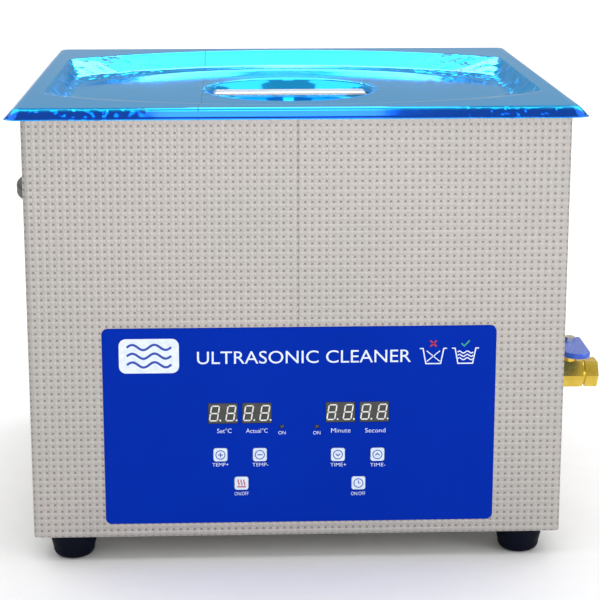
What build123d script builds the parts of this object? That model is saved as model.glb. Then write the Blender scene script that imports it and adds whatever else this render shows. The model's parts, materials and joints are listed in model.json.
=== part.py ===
from build123d import *
from math import cos, radians, sin, sqrt
import os

os.makedirs("parts", exist_ok=True)

# ---- Driving dimensions in mm. Origin on the floor under the middle of the case, +Z up, front at -Y. ----
case_w, case_d = 340.0, 315.0
case_z0, case_z1 = 17.0, 292.5
sheet = 1.0
fold_r = 3.0

front_y = -case_d / 2
rear_y = case_d / 2
side_x = case_w / 2
inner_front = front_y + sheet
inner_rear = rear_y - sheet
inner_side = side_x - sheet
base_top = case_z0 + sheet

tank_l, tank_w, tank_depth = 328.0, 300.0, 150.0
tank_top = 295.0
tank_floor = tank_top - tank_depth
tank_under = tank_floor - sheet
tank_corner = 20.0
lip_w, lip_d, lip_z = 346.0, 321.0, 289.0

lid_top = 296.0
lid_w, lid_d = 349.0, 324.0
skirt_w, skirt_d, skirt_z = 360.0, 335.0, 289.6
dish_x, dish_side_y, dish_mid_y = 161.5, 95.0, 147.0
floor_x, floor_side_y, floor_mid_y = 149.0, 24.0, 107.0
dish_floor = 285.4
cup_r, cup_r_low, cup_floor = 58.5, 52.5, 273.4
bar_w, bar_drop, bar_top_x = 18.0, 3.4, 50.0

panel_x, panel_z, panel_w, panel_h, panel_t = 1.1, 91.1, 249.5, 130.2, 1.2
display_z, display_w, display_h, display_gap = 99.8, 19.0, 13.8, 2.6
display_groups = [-37.0, 37.8]
display_x = [x + side * (display_w + display_gap) / 2 for x in display_groups for side in (-1, 1)]
key_size, key_gap, key_travel = 8.8, 0.3, 0.5
keys = {
    "key_temp_up": (-49.7, 72.2),
    "key_temp_down": (-24.5, 72.0),
    "key_heater_onoff": (-36.4, 52.8),
    "key_time_up": (25.5, 71.4),
    "key_time_down": (50.9, 71.2),
    "key_timer_onoff": (38.8, 52.0),
}
led_spots = [(-10.3, 90.6), (12.0, 90.3)]
led_r = 1.6
board_y, board_t = -150.0, 1.6
board_holes = [(x, z) for x in (-70.0, 70.0) for z in (41.0, 115.0)]

foot_x, foot_y, foot_r = 146.0, 141.0, 14.8
feet = {
    "foot_front_left": (-foot_x, -foot_y),
    "foot_front_right": (foot_x, -foot_y),
    "foot_rear_left": (-foot_x, foot_y),
    "foot_rear_right": (foot_x, foot_y),
}

transducers = [(x, y) for x in (-105.0, -10.0, 85.0) for y in (-70.0, 70.0)]
horn_h, ceramic_h, mass_h = 28.0, 5.0, 14.0

valve_x, valve_y, valve_z = 182.0, -110.0, 110.0
valve_af = 17.4
valve_end = 200.6
bore_r, ball_r, chamber_r, seat_r = 3.5, 5.6, 6.3, 5.9
stem_r, stem_hole_r = 2.5, 2.8
lever_z, lever_t, lever_w = 129.0, 3.4, 17.0
lever_hole_r, nut_r, nut_t = 2.0, 3.7, 2.2
thread_r = 5.72
drain_x = 140.0
hose_bend = 14.0
spigot_r = 8.0

fan_x, fan_z, fan_size, fan_t = -85.0, 73.0, 80.0, 25.0
fan_y = inner_rear - fan_t
fan_hole = 38.0
inlet_x, inlet_z = 118.0, 51.0
switch_x, switch_z = 118.0, 95.0
rocker_tilt = 10.0

handle_y, handle_z, handle_out, handle_t = 22.0, 214.0, 25.1, 9.6
handle_screws = (-41.0, 41.0)

gen_z, gen_w, gen_d = 27.0, 170.0, 120.0
gen_holes = [(x, y) for x in (-78.0, 78.0) for y in (-53.0, 53.0)]
rear_screws = [(x, z) for x in (-162.0, 162.0) for z in (33.0, 153.0, 273.0)]
base_screws = [(x, y) for x in (-162.0, 162.0) for y in (-90.0, 0.0, 90.0)]

# Planes whose normals point out of the front and of the rear, with local X along +X at the front.
front_plane = Plane(origin=(0, front_y, 0), x_dir=(1, 0, 0), z_dir=(0, -1, 0))
rear_plane = Plane(origin=(0, rear_y, 0), x_dir=(-1, 0, 0), z_dir=(0, 1, 0))


# ---- Case ----
with BuildPart() as housing_shell:
    with BuildSketch(Plane.XY.offset(case_z0)) as wall_outline:
        Rectangle(case_w, case_d)
        fillet(wall_outline.vertices().group_by(Axis.Y)[0], fold_r)
        with Locations((0, sheet)):
            Rectangle(case_w - 2 * sheet, case_d, mode=Mode.SUBTRACT)
    extrude(amount=case_z1 - case_z0)
    for z, width in ((case_z1 - sheet, 4.0), (base_top, 12.0)):
        with BuildSketch(Plane.XY.offset(z)):
            with Locations((0, -1.5)):
                Rectangle(case_w - sheet, case_d - 5)
            with Locations((0, width - 1)):
                Rectangle(case_w - 2 * (sheet + width), case_d, mode=Mode.SUBTRACT)
        extrude(amount=sheet)
    flange_y, case_mid_z = inner_rear - 0.5, (case_z0 + case_z1) / 2
    with Locations((side_x - 7, flange_y, case_mid_z), (-side_x + 7, flange_y, case_mid_z)):
        Box(12.5, sheet, case_z1 - case_z0 - 2 * sheet)
    with BuildSketch(front_plane) as front_holes:
        for x in display_groups:
            with Locations((x, display_z)):
                Rectangle(2 * display_w + display_gap, display_h)
        with Locations(*keys.values()):
            Rectangle(key_size + 2 * key_gap, key_size + 2 * key_gap)
        with Locations(*led_spots):
            Circle(led_r)
    extrude(amount=-2 * sheet, mode=Mode.SUBTRACT)
    with BuildSketch(Plane(origin=(side_x, 0, 0), x_dir=(0, 1, 0), z_dir=(1, 0, 0))):
        with Locations((valve_y, valve_z)):
            Circle(spigot_r)
    extrude(amount=-2 * sheet, mode=Mode.SUBTRACT)
    with BuildSketch(Plane.YZ):
        with Locations(*[(handle_y + y, handle_z) for y in handle_screws]):
            Circle(2.0)
    extrude(amount=side_x + 1, both=True, mode=Mode.SUBTRACT)
    with BuildSketch(rear_plane):
        with Locations(*rear_screws):
            Circle(1.5)
    extrude(amount=-3, mode=Mode.SUBTRACT)
    with BuildSketch(Plane.XY.offset(case_z0)):
        with Locations(*base_screws):
            Circle(1.5)
    extrude(amount=3, mode=Mode.SUBTRACT)
housing_shell.part.label = "housing_shell"
export_step(housing_shell.part, "parts/housing_shell.step")

with BuildPart() as rear_panel:
    with BuildSketch(rear_plane):
        with Locations((0, (case_z0 + case_z1) / 2)):
            Rectangle(case_w - 2 * sheet - 0.4, case_z1 - case_z0 - 0.4)
        with Locations((-fan_x, fan_z)):
            Circle(fan_hole, mode=Mode.SUBTRACT)
            with GridLocations(71.5, 71.5, 2, 2):
                Circle(2.0, mode=Mode.SUBTRACT)
        with Locations((-inlet_x, inlet_z)):
            Rectangle(28.0, 20.6, mode=Mode.SUBTRACT)
            with GridLocations(40.0, 1.0, 2, 1):
                Circle(1.5, mode=Mode.SUBTRACT)
        with Locations((-switch_x, switch_z)):
            Rectangle(19.0, 13.0, mode=Mode.SUBTRACT)
        with Locations((-20.0, 69.0)):
            with GridLocations(7.0, 1.0, 8, 1):
                SlotOverall(46.0, 3.0, rotation=90, mode=Mode.SUBTRACT)
        with Locations(*rear_screws):
            Circle(1.5, mode=Mode.SUBTRACT)
    extrude(amount=-sheet)
rear_panel.part.label = "rear_panel"
export_step(rear_panel.part, "parts/rear_panel.step")

with BuildPart() as base_plate:
    with BuildSketch(Plane.XY.offset(case_z0)):
        with Locations((0, -0.8)):
            Rectangle(case_w - 2 * sheet - 0.4, case_d - 3.8)
        with Locations((-110.0, 0), (110.0, 0)):
            with GridLocations(1.0, 9.0, 1, 12):
                SlotOverall(34.0, 3.5, mode=Mode.SUBTRACT)
        with Locations(*feet.values()):
            Circle(2.5, mode=Mode.SUBTRACT)
        with Locations(*base_screws, *gen_holes):
            Circle(1.5, mode=Mode.SUBTRACT)
    extrude(amount=sheet)
base_plate.part.label = "base_plate"
export_step(base_plate.part, "parts/base_plate.step")

# ---- Tank and its seal ----
with BuildPart() as basin:
    with BuildSketch(Plane.XY.offset(tank_floor)):
        RectangleRounded(tank_l, tank_w, tank_corner)
    extrude(amount=tank_depth + 5)
    fillet(basin.faces().sort_by(Axis.Z)[0].edges(), 8.0)

with BuildPart() as tank:
    with BuildSketch(Plane.XY.offset(lip_z)):
        RectangleRounded(lip_w, lip_d, 4.0)
    extrude(amount=tank_top - lip_z)
    with BuildSketch(Plane.XY.offset(lip_z)):
        RectangleRounded(lip_w - 2 * sheet, lip_d - 2 * sheet, 3.0)
    extrude(amount=tank_top - lip_z - sheet, mode=Mode.SUBTRACT)
    with BuildSketch(Plane.XY.offset(tank_under)):
        RectangleRounded(tank_l + 2 * sheet, tank_w + 2 * sheet, tank_corner + sheet)
    extrude(amount=tank_depth + sheet)
    fillet(tank.faces().sort_by(Axis.Z)[0].edges(), 9.0)
    add(basin.part, mode=Mode.SUBTRACT)
    with Locations((drain_x, valve_y, tank_floor)):
        Cylinder(spigot_r, 10, mode=Mode.SUBTRACT)
tank.part.label = "tank"
export_step(tank.part, "parts/tank.step")

with BuildPart() as tank_rim_seal:
    with BuildSketch(Plane.XY.offset(case_z1)):
        RectangleRounded(case_w, case_d, fold_r)
        RectangleRounded(tank_l + 2.6, tank_w + 2.6, tank_corner, mode=Mode.SUBTRACT)
    extrude(amount=tank_top - sheet - case_z1)
tank_rim_seal.part.label = "tank_rim_seal"
export_step(tank_rim_seal.part, "parts/tank_rim_seal.step")

# ---- Feet ----
for name, (x, y) in feet.items():
    with BuildPart() as foot:
        with BuildSketch(Plane.XZ):
            with BuildLine():
                Polyline((9.6, 0), (0, 0), (0, case_z0), (foot_r, case_z0), (foot_r, 11.0), (13.4, 5.2))
                ThreePointArc((13.4, 5.2), (12.3, 1.6), (9.6, 0))
            make_face()
        revolve(axis=Axis.Z)
        Cylinder(6.0, 9.0, align=(Align.CENTER, Align.CENTER, Align.MIN), mode=Mode.SUBTRACT)
        Cylinder(2.5, 40.0, mode=Mode.SUBTRACT)
    foot_part = Pos(x, y, 0) * foot.part
    foot_part.label = name
    export_step(foot_part, f"parts/{name}.step")

with BuildPart() as foot_screws:
    for x, y in feet.values():
        with Locations((x, y, 5.6)):
            Cylinder(4.5, 3.4, align=(Align.CENTER, Align.CENTER, Align.MIN))
        with Locations((x, y, 9.0)):
            Cylinder(2.5, 15.0, align=(Align.CENTER, Align.CENTER, Align.MIN))
        with BuildSketch(Plane.XY.offset(base_top)):
            with Locations((x, y)):
                RegularPolygon(4.6, 6)
        extrude(amount=4.0)
        with Locations((x, y, 5.6)):
            Box(5.0, 1.0, 2.4, mode=Mode.SUBTRACT)
            Box(1.0, 5.0, 2.4, mode=Mode.SUBTRACT)
foot_screws.part.label = "foot_screws"
export_step(foot_screws.part, "parts/foot_screws.step")

# ---- Control panel ----
with BuildPart() as control_overlay:
    with BuildSketch(front_plane):
        with Locations((panel_x, panel_z)):
            RectangleRounded(panel_w, panel_h, 4.0)
        with Locations(*[(x, display_z) for x in display_x]):
            Rectangle(display_w, display_h, mode=Mode.SUBTRACT)
        with Locations(*keys.values()):
            RectangleRounded(key_size + 2 * key_gap, key_size + 2 * key_gap, 1.8, mode=Mode.SUBTRACT)
        with Locations(*led_spots):
            Circle(led_r, mode=Mode.SUBTRACT)
    extrude(amount=panel_t)
    chamfer(control_overlay.faces().sort_by(Axis.Y)[0].outer_wire().edges(), 0.35)
control_overlay.part.label = "control_overlay"
export_step(control_overlay.part, "parts/control_overlay.step")

with BuildPart() as control_board:
    with BuildSketch(Plane(origin=(0, board_y, 0), x_dir=(1, 0, 0), z_dir=(0, -1, 0))):
        with Locations((0, 78.0)):
            RectangleRounded(154.0, 88.0, 3.0)
        with Locations(*board_holes):
            Circle(1.5, mode=Mode.SUBTRACT)
    extrude(amount=-board_t)
    with Locations((-45.0, board_y + board_t + 4.0, 95.0)):
        Box(26.0, 8.0, 10.0)
    with Locations((0.0, board_y + board_t + 1.5, 78.0)):
        Box(14.0, 3.0, 14.0)
    with Locations((45.0, board_y + board_t + 5.0, 58.0)):
        Box(18.0, 10.0, 12.0)
control_board.part.label = "control_board"
export_step(control_board.part, "parts/control_board.step")

display_names = ["display_set_temp", "display_actual_temp", "display_minutes", "display_seconds"]
display_front = front_y - panel_t + 0.25
for name, x in zip(display_names, display_x):
    with BuildPart() as display:
        with Locations((x, (display_front + board_y) / 2, display_z)):
            Box(display_w, board_y - display_front, display_h)
        chamfer(display.faces().sort_by(Axis.Y)[0].edges(), 0.3)
    display.part.label = name
    export_step(display.part, f"parts/{name}.step")

with BuildPart() as status_leds:
    for x, z in led_spots:
        with Locations(Plane(origin=(x, board_y, z), z_dir=(0, -1, 0))):
            Cylinder(led_r, board_y - front_y + panel_t, align=(Align.CENTER, Align.CENTER, Align.MIN))
    fillet(status_leds.edges().filter_by(GeomType.CIRCLE).group_by(Axis.Y)[0], 0.8)
status_leds.part.label = "status_leds"
export_step(status_leds.part, "parts/status_leds.step")

with BuildPart() as tact_switches:
    for x, z in keys.values():
        with Locations((x, board_y - 1.75, z)):
            Box(6.0, 3.5, 6.0)
        with Locations(Plane(origin=(x, board_y - 3.5, z), z_dir=(0, -1, 0))):
            Cylinder(1.7, 1.5, align=(Align.CENTER, Align.CENTER, Align.MIN))
tact_switches.part.label = "tact_switches"
export_step(tact_switches.part, "parts/tact_switches.step")

for name, (x, z) in keys.items():
    with BuildPart() as key:
        with BuildSketch(Plane(origin=(0, inner_front, 0), x_dir=(1, 0, 0), z_dir=(0, -1, 0))):
            with Locations((x, z)):
                RectangleRounded(key_size, key_size, 1.5)
        extrude(amount=sheet + panel_t + 0.35)
        fillet(key.faces().sort_by(Axis.Y)[0].edges(), 0.3)
        with Locations((x, inner_front + 0.4, z)):
            Box(key_size + 2.2, 0.8, key_size + 2.2)
    key.part.label = name
    export_step(key.part, f"parts/{name}.step")

with BuildPart() as board_standoffs:
    for x, z in board_holes:
        with BuildSketch(Plane(origin=(0, board_y, 0), x_dir=(1, 0, 0), z_dir=(0, -1, 0))):
            with Locations((x, z)):
                RegularPolygon(3.2, 6)
                Circle(1.5, mode=Mode.SUBTRACT)
        extrude(amount=board_y - inner_front)
board_standoffs.part.label = "board_standoffs"
export_step(board_standoffs.part, "parts/board_standoffs.step")

with BuildPart() as board_screws:
    for x, z in board_holes:
        with Locations(Plane(origin=(x, board_y + board_t, z), z_dir=(0, -1, 0))):
            Cylinder(1.5, 6.0, align=(Align.CENTER, Align.CENTER, Align.MIN))
        with Locations(Plane(origin=(x, board_y + board_t, z), z_dir=(0, 1, 0))):
            Cylinder(2.8, 2.0, align=(Align.CENTER, Align.CENTER, Align.MIN))
board_screws.part.label = "board_screws"
export_step(board_screws.part, "parts/board_screws.step")

# ---- Ultrasonic generator on the base ----
with BuildPart() as generator_standoffs:
    for x, y in gen_holes:
        with Locations((x, y, base_top)):
            Cylinder(3.0, gen_z - base_top, align=(Align.CENTER, Align.CENTER, Align.MIN))
        with Locations((x, y, case_z0 - 1.6)):
            Cylinder(2.8, 1.6, align=(Align.CENTER, Align.CENTER, Align.MIN))
            Cylinder(1.5, 14.2, align=(Align.CENTER, Align.CENTER, Align.MIN))
        with Locations((x, y, gen_z + 1.6)):
            Cylinder(2.8, 2.0, align=(Align.CENTER, Align.CENTER, Align.MIN))
generator_standoffs.part.label = "generator_standoffs"
export_step(generator_standoffs.part, "parts/generator_standoffs.step")

with BuildPart() as generator_board:
    with BuildSketch(Plane.XY.offset(gen_z)):
        RectangleRounded(gen_w, gen_d, 3.0)
        with Locations(*gen_holes):
            Circle(1.5, mode=Mode.SUBTRACT)
    extrude(amount=1.6)
    with Locations((60.0, -38.0, gen_z + 6.0), (60.0, -12.0, gen_z + 6.0)):
        Box(18.0, 12.0, 12.0)
    with Locations((-60.0, 42.0, gen_z + 7.0)):
        Box(30.0, 10.0, 14.0)
generator_board.part.label = "generator_board"
export_step(generator_board.part, "parts/generator_board.step")

board_face = gen_z + 1.6
with BuildPart() as generator_heatsinks:
    for x in (-52.0, -20.0):
        with BuildSketch(Plane.XY.offset(board_face)):
            with Locations((x, -15.0)):
                Rectangle(3.0, 66.0)
                with GridLocations(1.0, 6.0, 1, 11):
                    Rectangle(18.0, 1.4)
        extrude(amount=32.0)
generator_heatsinks.part.label = "generator_heatsinks"
export_step(generator_heatsinks.part, "parts/generator_heatsinks.step")

with BuildPart() as generator_transformer:
    with Locations((22.0, 20.0, board_face + 14.0)):
        Box(36.0, 14.0, 28.0)
        Box(24.0, 30.0, 20.0)
    with Locations((22.0, 20.0, board_face + 2.0)):
        Box(38.0, 32.0, 4.0)
generator_transformer.part.label = "generator_transformer"
export_step(generator_transformer.part, "parts/generator_transformer.step")

with BuildPart() as generator_capacitors:
    with Locations((62.0, 22.0, board_face), (28.0, -30.0, board_face), (4.0, -32.0, board_face)):
        Cylinder(9.0, 30.0, align=(Align.CENTER, Align.CENTER, Align.MIN))
    fillet(generator_capacitors.edges().group_by(Axis.Z)[-1], 1.0)
generator_capacitors.part.label = "generator_capacitors"
export_step(generator_capacitors.part, "parts/generator_capacitors.step")

# ---- Transducers under the tank ----
ceramic_top = tank_under - horn_h
mass_top = ceramic_top - 2 * ceramic_h
down = (Align.CENTER, Align.CENTER, Align.MAX)
with BuildPart() as transducer_horns:
    with BuildSketch(Plane.XZ):
        with BuildLine():
            Polyline((5.0, tank_under), (29.0, tank_under), (29.0, tank_under - 6), (19.5, ceramic_top + 5),
                     (19.5, ceramic_top), (5.0, ceramic_top), (5.0, tank_under))
        make_face()
    horn = revolve(axis=Axis.Z, mode=Mode.PRIVATE)
    with Locations(*[(x, y, 0) for x, y in transducers]):
        add(horn)
transducer_horns.part.label = "transducer_horns"
export_step(transducer_horns.part, "parts/transducer_horns.step")

with BuildPart() as transducer_ceramics:
    with Locations(*[(x, y, ceramic_top) for x, y in transducers]):
        Cylinder(19.0, ceramic_h - 0.2, align=down)
    with Locations(*[(x, y, ceramic_top - ceramic_h - 0.2) for x, y in transducers]):
        Cylinder(19.0, ceramic_h - 0.2, align=down)
    with Locations(*[(x, y, ceramic_top - ceramic_h + 0.2) for x, y in transducers]):
        Cylinder(19.4, 0.4, align=down)
    with Locations(*[(x, y, ceramic_top) for x, y in transducers]):
        Cylinder(6.0, 2 * ceramic_h, align=down, mode=Mode.SUBTRACT)
transducer_ceramics.part.label = "transducer_ceramics"
export_step(transducer_ceramics.part, "parts/transducer_ceramics.step")

with BuildPart() as transducer_back_masses:
    with Locations(*[(x, y, mass_top) for x, y in transducers]):
        Cylinder(19.0, mass_h, align=down)
        Cylinder(5.0, mass_h, align=down, mode=Mode.SUBTRACT)
    chamfer(transducer_back_masses.faces().group_by(Axis.Z)[0].edges().filter_by(
        lambda e: e.radius > 10), 1.5)
transducer_back_masses.part.label = "transducer_back_masses"
export_step(transducer_back_masses.part, "parts/transducer_back_masses.step")

with BuildPart() as transducer_bolts:
    with Locations(*[(x, y, tank_under) for x, y in transducers]):
        Cylinder(5.0, tank_under - mass_top + mass_h, align=down)
    with Locations(*[(x, y, mass_top - mass_h) for x, y in transducers]):
        Cylinder(8.0, 8.0, align=down)
    with Locations(*[(x, y, mass_top - mass_h - 8.0) for x, y in transducers]):
        Cylinder(3.6, 8.0, mode=Mode.SUBTRACT)
transducer_bolts.part.label = "transducer_bolts"
export_step(transducer_bolts.part, "parts/transducer_bolts.step")

# ---- Heaters and thermal cut-out ----
heater_face = tank_w / 2 + sheet
with BuildPart() as heater_pads:
    for side in (-1, 1):
        with Locations((0, side * (heater_face + 1.0), 208.0)):
            Box(250.0, 2.0, 70.0)
        with Locations((-130.0, side * (heater_face + 1.0), 208.0), (130.0, side * (heater_face + 1.0), 208.0)):
            Box(10.0, 2.0, 16.0)
heater_pads.part.label = "heater_pads"
export_step(heater_pads.part, "parts/heater_pads.step")

with BuildPart() as thermal_cutout:
    with Locations((138.0, 20.0, tank_under)):
        Cylinder(8.0, 7.0, align=down)
    with Locations((138.0, 20.0, tank_under - 7.0)):
        Cylinder(6.0, 6.0, align=down)
    with Locations((134.0, 20.0, tank_under - 16.0), (142.0, 20.0, tank_under - 16.0)):
        Box(0.8, 6.0, 8.0)
thermal_cutout.part.label = "thermal_cutout"
export_step(thermal_cutout.part, "parts/thermal_cutout.step")

# ---- Drain and ball valve ----
hose_top = valve_z + hose_bend
with BuildPart() as drain_outlet:
    with Locations((drain_x, valve_y, tank_floor)):
        Cylinder(13.0, 1.6, align=(Align.CENTER, Align.CENTER, Align.MIN))
        Cylinder(spigot_r, tank_floor - hose_top, align=down)
    with BuildSketch(Plane.XY.offset(tank_under - 5.0)):
        with Locations((drain_x, valve_y)):
            RegularPolygon(13.0, 6)
    extrude(amount=5.0)
    with Locations((drain_x, valve_y, tank_floor)):
        Cylinder(6.5, 80.0, mode=Mode.SUBTRACT)
drain_outlet.part.label = "drain_outlet"
export_step(drain_outlet.part, "parts/drain_outlet.step")

with BuildPart() as drain_hose:
    with BuildLine() as hose_path:
        Line((drain_x, valve_y, hose_top + 9.0), (drain_x, valve_y, hose_top))
        ThreePointArc(
            (drain_x, valve_y, hose_top),
            (drain_x + hose_bend * (1 - cos(radians(45))), valve_y, hose_top - hose_bend * sin(radians(45))),
            (drain_x + hose_bend, valve_y, valve_z))
        Line((drain_x + hose_bend, valve_y, valve_z), (drain_x + hose_bend + 7.0, valve_y, valve_z))
    with BuildSketch(Plane(origin=(drain_x, valve_y, hose_top + 9.0), z_dir=(0, 0, -1))):
        Circle(10.6)
        Circle(spigot_r, mode=Mode.SUBTRACT)
    sweep()
drain_hose.part.label = "drain_hose"
export_step(drain_hose.part, "parts/drain_hose.step")

valve_plane = Plane(origin=(0, valve_y, valve_z), x_dir=(0, 1, 0), z_dir=(1, 0, 0))
hex_r = valve_af / sqrt(3)
with BuildPart() as valve_body:
    with BuildSketch(valve_plane.offset(drain_x + hose_bend)):
        Circle(spigot_r)
    extrude(amount=20.0)
    with BuildSketch(valve_plane.offset(side_x)):
        Circle(10.2)
    extrude(amount=2.0)
    with BuildSketch(valve_plane.offset(side_x + 2.0)):
        RegularPolygon(hex_r, 6)
    extrude(amount=18.4)
    with Locations((valve_x, valve_y, valve_z)):
        Cylinder(5.2, 15.0, align=(Align.CENTER, Align.CENTER, Align.MIN))
    with BuildSketch(valve_plane.offset(drain_x)):
        Circle(bore_r)
    extrude(amount=60.0, mode=Mode.SUBTRACT)
    with BuildSketch(valve_plane.offset(side_x + 3.0)):
        Circle(chamber_r)
    extrude(amount=30.0, mode=Mode.SUBTRACT)
    with Locations((valve_x, valve_y, valve_z)):
        Cylinder(stem_hole_r, 40.0, align=(Align.CENTER, Align.CENTER, Align.MIN), mode=Mode.SUBTRACT)
valve_body.part.label = "valve_body"
export_step(valve_body.part, "parts/valve_body.step")

with BuildPart() as valve_end_cap:
    with BuildSketch(valve_plane.offset(side_x + 20.4)):
        Circle(7.6)
    extrude(amount=1.6)
    with BuildSketch(valve_plane.offset(side_x + 22.0)):
        RegularPolygon(hex_r, 6)
    extrude(amount=valve_end - side_x - 22.0)
    chamfer(valve_end_cap.faces().sort_by(Axis.X)[-1].edges(), 0.8)
    with BuildSketch(valve_plane.offset(side_x + 20.4)):
        Circle(bore_r)
    extrude(amount=30.0, mode=Mode.SUBTRACT)
    with BuildSketch(valve_plane.offset(valve_end)):
        Circle(thread_r)
    extrude(amount=-9.0, mode=Mode.SUBTRACT)
valve_end_cap.part.label = "valve_end_cap"
export_step(valve_end_cap.part, "parts/valve_end_cap.step")

seat_near = 3.6
seat_rim = sqrt(seat_r ** 2 - seat_near ** 2)
seat_bore = sqrt(seat_r ** 2 - bore_r ** 2)
seat_mid = (seat_near + seat_bore) / 2
with BuildPart() as valve_seats:
    for side, seat_back in ((-1, 9.0), (1, 8.4)):
        with BuildSketch(Plane(origin=(valve_x, valve_y, valve_z), x_dir=(1, 0, 0), z_dir=(0, -1, 0))):
            with BuildLine():
                Polyline((side * seat_near, seat_rim), (side * seat_near, chamber_r), (side * seat_back, chamber_r),
                         (side * seat_back, bore_r), (side * seat_bore, bore_r))
                ThreePointArc((side * seat_bore, bore_r), (side * seat_mid, sqrt(seat_r ** 2 - seat_mid ** 2)),
                              (side * seat_near, seat_rim))
            make_face()
        revolve(axis=Axis((valve_x, valve_y, valve_z), (1, 0, 0)))
valve_seats.part.label = "valve_seats"
export_step(valve_seats.part, "parts/valve_seats.step")

with BuildPart() as valve_locknut:
    with BuildSketch(valve_plane.offset(side_x - sheet)):
        RegularPolygon(13.0, 6)
        Circle(spigot_r, mode=Mode.SUBTRACT)
    extrude(amount=-6.0)
valve_locknut.part.label = "valve_locknut"
export_step(valve_locknut.part, "parts/valve_locknut.step")

with BuildPart() as valve_ball:
    with Locations((valve_x, valve_y, valve_z)):
        Sphere(ball_r)
    with BuildSketch(Plane(origin=(valve_x, valve_y, valve_z), z_dir=(0, 1, 0))):
        Circle(bore_r)
    extrude(amount=20.0, both=True, mode=Mode.SUBTRACT)
    with Locations((valve_x, valve_y, valve_z + 4.2)):
        Box(2.0, 12.0, 3.0, align=(Align.CENTER, Align.CENTER, Align.MIN), mode=Mode.SUBTRACT)
valve_ball.part.label = "valve_ball"
export_step(valve_ball.part, "parts/valve_ball.step")

with BuildPart() as valve_stem:
    with Locations((valve_x, valve_y, valve_z + 4.2)):
        Box(2.0, 3.6, 3.0, align=(Align.CENTER, Align.CENTER, Align.MIN))
    with Locations((valve_x, valve_y, valve_z + 6.4)):
        Cylinder(stem_r, lever_z - valve_z - 6.4, align=(Align.CENTER, Align.CENTER, Align.MIN))
    with Locations((valve_x, valve_y, lever_z)):
        Cylinder(lever_hole_r, lever_t + nut_t, align=(Align.CENTER, Align.CENTER, Align.MIN))
valve_stem.part.label = "valve_stem"
export_step(valve_stem.part, "parts/valve_stem.step")

with BuildPart() as valve_handle:
    with BuildSketch(Plane.XY.offset(lever_z)) as lever_outline:
        with Locations((valve_x, valve_y - 14.0)):
            Rectangle(lever_w, 42.0)
        fillet(lever_outline.vertices().group_by(Axis.Y)[0], 8.2)
        fillet(lever_outline.vertices().group_by(Axis.Y)[-1], 2.0)
    extrude(amount=lever_t)
    fillet(valve_handle.faces().sort_by(Axis.Z)[-1].edges(), 1.2)
    with Locations((valve_x, valve_y, lever_z)):
        Cylinder(lever_hole_r, 20.0, mode=Mode.SUBTRACT)
valve_handle.part.label = "valve_handle"
export_step(valve_handle.part, "parts/valve_handle.step")

with BuildPart() as valve_handle_nut:
    with BuildSketch(Plane.XY.offset(lever_z + lever_t)):
        with Locations((valve_x, valve_y)):
            RegularPolygon(nut_r, 6)
            Circle(lever_hole_r, mode=Mode.SUBTRACT)
    extrude(amount=nut_t)
valve_handle_nut.part.label = "valve_handle_nut"
export_step(valve_handle_nut.part, "parts/valve_handle_nut.step")

# ---- Rear fittings: mains inlet, switch, fan ----
inlet_front, inlet_back = rear_y - 22.0, rear_y + 2.5
with BuildPart() as power_inlet:
    with BuildSketch(rear_plane):
        with Locations((-inlet_x, inlet_z)):
            RectangleRounded(50.0, 23.0, 3.0)
            with GridLocations(40.0, 1.0, 2, 1):
                Circle(1.5, mode=Mode.SUBTRACT)
    extrude(amount=inlet_back - rear_y)
    with BuildSketch(rear_plane):
        with Locations((-inlet_x, inlet_z)):
            Rectangle(28.0, 20.6)
    extrude(amount=inlet_front - rear_y)
    with BuildSketch(rear_plane.offset(inlet_back - rear_y)) as socket:
        with Locations((-inlet_x, inlet_z)):
            Rectangle(24.6, 16.6)
        chamfer(socket.vertices().group_by(Axis.Y)[-1], 4.0)
    extrude(amount=-17.5, mode=Mode.SUBTRACT)
power_inlet.part.label = "power_inlet"
export_step(power_inlet.part, "parts/power_inlet.step")

with BuildPart() as inlet_pins:
    for dx, dz in ((-7.0, -2.0), (7.0, -2.0), (0.0, 2.0)):
        with Locations((inlet_x + dx, inlet_back - 6.0, inlet_z + dz)):
            Box(2.0, 11.5, 4.0, align=(Align.CENTER, Align.MAX, Align.CENTER))
        with Locations((inlet_x + dx, inlet_front, inlet_z + dz)):
            Box(0.8, 8.0, 6.3, align=(Align.CENTER, Align.MAX, Align.CENTER))
inlet_pins.part.label = "inlet_pins"
export_step(inlet_pins.part, "parts/inlet_pins.step")

with BuildPart() as switch_frame:
    with BuildSketch(rear_plane):
        with Locations((-switch_x, switch_z)):
            RectangleRounded(21.0, 15.0, 1.2)
    extrude(amount=2.0)
    with BuildSketch(rear_plane):
        with Locations((-switch_x, switch_z)):
            Rectangle(19.0, 13.0)
    extrude(amount=-16.0)
    with BuildSketch(rear_plane.offset(2.0)):
        with Locations((-switch_x, switch_z)):
            Rectangle(17.2, 11.2)
    extrude(amount=-12.0, mode=Mode.SUBTRACT)
    with Locations((switch_x - 5.0, rear_y - 16.0, switch_z), (switch_x + 5.0, rear_y - 16.0, switch_z)):
        Box(0.8, 8.0, 4.8, align=(Align.CENTER, Align.MAX, Align.CENTER))
switch_frame.part.label = "switch_frame"
export_step(switch_frame.part, "parts/switch_frame.step")

with BuildPart() as switch_rocker:
    with BuildSketch(Plane.XY) as rocker_outline:
        with BuildLine():
            Polyline((-8.0, 1.0), (-7.6, 4.2), (0, 3.0), (7.6, 4.2), (8.0, 1.0), (5.0, -2.6), (-5.0, -2.6), (-8.0, 1.0))
        make_face()
    extrude(amount=5.3, both=True)
rocker = Pos(switch_x, rear_y, switch_z) * Rot(0, 0, -rocker_tilt) * switch_rocker.part
rocker.label = "switch_rocker"
export_step(rocker, "parts/switch_rocker.step")

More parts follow.
